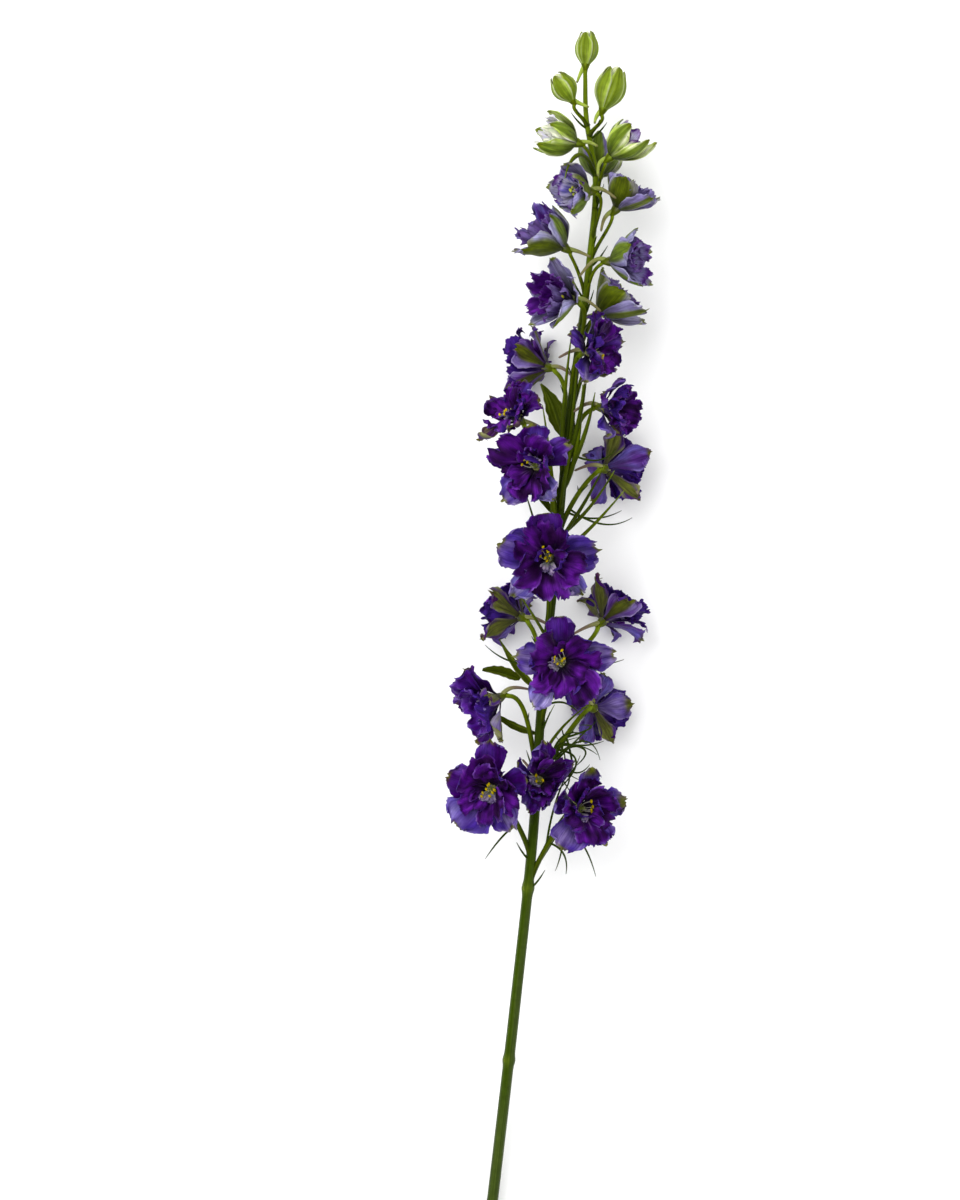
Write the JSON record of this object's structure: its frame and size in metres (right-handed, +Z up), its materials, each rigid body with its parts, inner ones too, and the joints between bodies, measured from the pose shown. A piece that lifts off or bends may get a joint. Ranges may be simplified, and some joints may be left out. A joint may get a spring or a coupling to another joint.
{
  "type": "delphinium flower spike",
  "caption": "Cut stem of double larkspur lying on its side: closed buds at the tip, cupped young blooms, then open ruffled violet florets with yellow stamens, over a bare lower stem.",
  "frame": {"origin": "on the surface that the flower lies on, in the middle of the flat spot under the lower stem, 8 mm from the cut end", "axes": "+Y along the flower from the cut end to the tip bud, +Z up from the surface, +X to the right when seen from above with the tip away from the viewer"},
  "size_m": [0.0892, 0.5364, 0.0624],
  "materials": {
    "stem_green": "satin",
    "bud_green": "satin",
    "half_open_violet": "satin",
    "petal_violet": "satin",
    "spur_olive": "satin",
    "anther_yellow": "matte"
  },
  "bodies": {
    "root": {"stem": "stem_green", "bud_1": "bud_green", "bud_2": "bud_green", "bud_3": "bud_green", "opening_4": "bud_green", "opening_5": "bud_green", "opening_6": "bud_green", "half_7": "half_open_violet", "half_8": "half_open_violet", "half_9": "half_open_violet", "half_10": "half_open_violet", "half_11": "half_open_violet", "half_12": "half_open_violet", "floret_13_petals": "petal_violet", "floret_13_spur": "spur_olive", "floret_13_stamens": "anther_yellow", "floret_14_petals": "petal_violet", "floret_14_spur": "spur_olive", "floret_14_stamens": "anther_yellow", "floret_15_petals": "petal_violet", "floret_15_spur": "spur_olive", "floret_15_stamens": "anther_yellow", "floret_16_petals": "petal_violet", "floret_16_spur": "spur_olive", "floret_16_stamens": "anther_yellow", "floret_16b_petals": "petal_violet", "floret_16b_spur": "spur_olive", "floret_16b_stamens": "anther_yellow", "floret_17_petals": "petal_violet", "floret_17_spur": "spur_olive", "floret_17_stamens": "anther_yellow", "floret_18_petals": "petal_violet", "floret_18_spur": "spur_olive", "floret_18_stamens": "anther_yellow", "floret_19_petals": "petal_violet", "floret_19_spur": "spur_olive", "floret_19_stamens": "anther_yellow", "floret_20_petals": "petal_violet", "floret_20_spur": "spur_olive", "floret_20_stamens": "anther_yellow", "floret_21_petals": "petal_violet", "floret_21_spur": "spur_olive", "floret_21_stamens": "anther_yellow", "floret_22_petals": "petal_violet", "floret_22_spur": "spur_olive", "floret_22_stamens": "anther_yellow", "floret_23_petals": "petal_violet", "floret_23_spur": "spur_olive", "floret_23_stamens": "anther_yellow", "floret_24_petals": "petal_violet", "floret_24_spur": "spur_olive", "floret_24_stamens": "anther_yellow", "floret_24b_petals": "petal_violet", "floret_24b_spur": "spur_olive", "floret_24b_stamens": "anther_yellow", "floret_25_petals": "petal_violet", "floret_25_spur": "spur_olive", "floret_25_stamens": "anther_yellow"}
  },
  "joints": []
}
